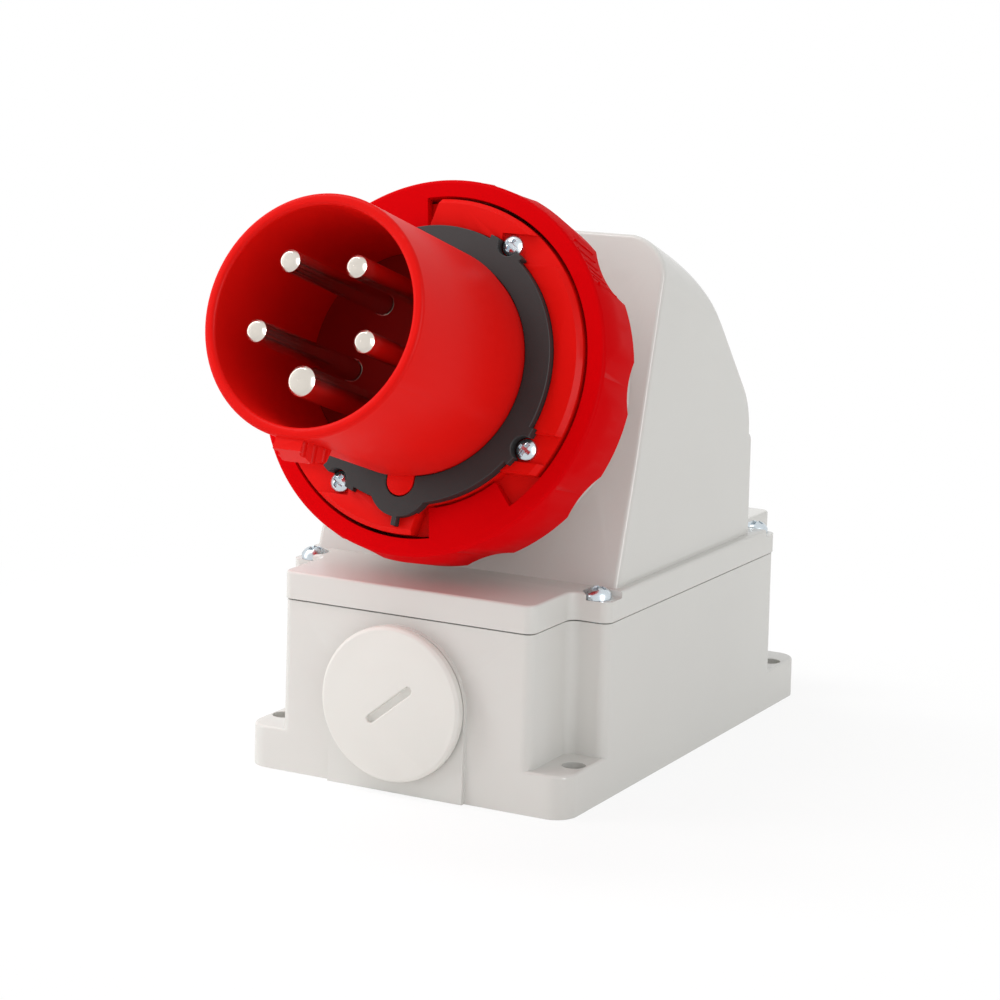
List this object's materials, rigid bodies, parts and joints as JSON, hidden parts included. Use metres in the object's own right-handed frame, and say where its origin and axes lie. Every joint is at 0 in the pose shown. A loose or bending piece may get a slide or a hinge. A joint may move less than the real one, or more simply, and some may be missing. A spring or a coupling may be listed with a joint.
{
  "type": "pin and sleeve inlet",
  "caption": "Surface-mounted watertight pin and sleeve inlet with a red sleeve, bayonet coupling ring and grey wiring box with mounting feet.",
  "frame": {"origin": "centre of the four mounting holes on the mounting face", "axes": "+Z away from the mounting face; the inlet looks towards -Y and leans back 18.2 degrees; +X to the right seen from the front"},
  "size_m": [0.1052, 0.2215, 0.1656],
  "materials": {
    "grey_housing": "moulded, satin light grey",
    "grey_plug": "moulded, matt pale grey",
    "red_housing": "moulded, satin red",
    "red_ring": "moulded, satin deep red",
    "red_carrier": "moulded, matt red",
    "face_seal": "matt black rubber",
    "black_seal": "matt black rubber",
    "zinc_screw": "bright zinc plate",
    "nickel_contact": "nickel-plated brass, satin"
  },
  "bodies": {
    "housing": {"back_box": "grey_housing", "hood": "grey_housing", "entry_plug": "grey_plug", "entry_plug_seal": "black_seal", "box_gasket": "black_seal", "lid_screws": "zinc_screw", "inlet_sleeve": "red_housing", "flange_gasket": "black_seal", "flange_screws": "zinc_screw", "face_gasket": "face_seal", "contact_carrier": "red_carrier", "carrier_cover": "red_carrier", "cover_screws": "zinc_screw", "terminal_screws": "zinc_screw", "neutral_pin": "nickel_contact", "earth_pin": "nickel_contact", "line_pin_1": "nickel_contact", "line_pin_2": "nickel_contact", "line_pin_3": "nickel_contact"},
    "coupling_ring": {"coupling_ring": "red_ring"}
  },
  "joints": [
    {"name": "ring_slide", "type": "slide", "parent": "housing", "child": "coupling_ring", "axis": [0, -0.95, 0.3123], "range_m": [0, 0.011]}
  ]
}
